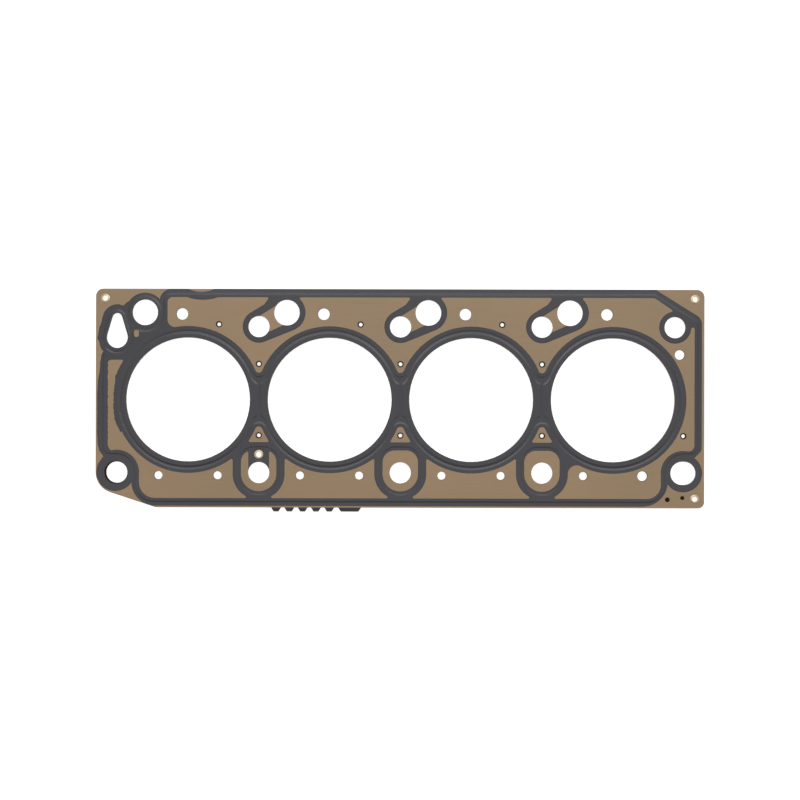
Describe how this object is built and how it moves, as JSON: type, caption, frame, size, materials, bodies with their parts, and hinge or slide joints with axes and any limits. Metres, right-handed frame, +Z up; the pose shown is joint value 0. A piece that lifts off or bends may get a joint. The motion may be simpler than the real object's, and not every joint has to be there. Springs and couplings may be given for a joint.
{
  "type": "cylinder head gasket",
  "caption": "Flat multi-layer steel gasket that seals a cylinder head to an in-line engine block, with beaded bore openings, bolt holes and oil and coolant passages.",
  "frame": {"origin": "on the block side, at the middle of the row of bores, which is also the middle of the inner bolt holes", "axes": "+X along the row of bores, +Y towards the side with the oil passages, +Z up, from the block to the head"},
  "size_m": [0.4125, 0.1509, 0.0019],
  "materials": {
    "sheet": "satin tan primer",
    "coating": "matte dark grey",
    "spacer": "matte black",
    "ring": "bright rolled",
    "eyelet": "satin, pale yellow"
  },
  "bodies": {
    "root": {"upper_sheet": "sheet", "upper_coating": "coating", "spacer_sheet": "spacer", "lower_sheet": "sheet", "stopper_rings": "ring", "eyelets": "eyelet"}
  },
  "joints": []
}
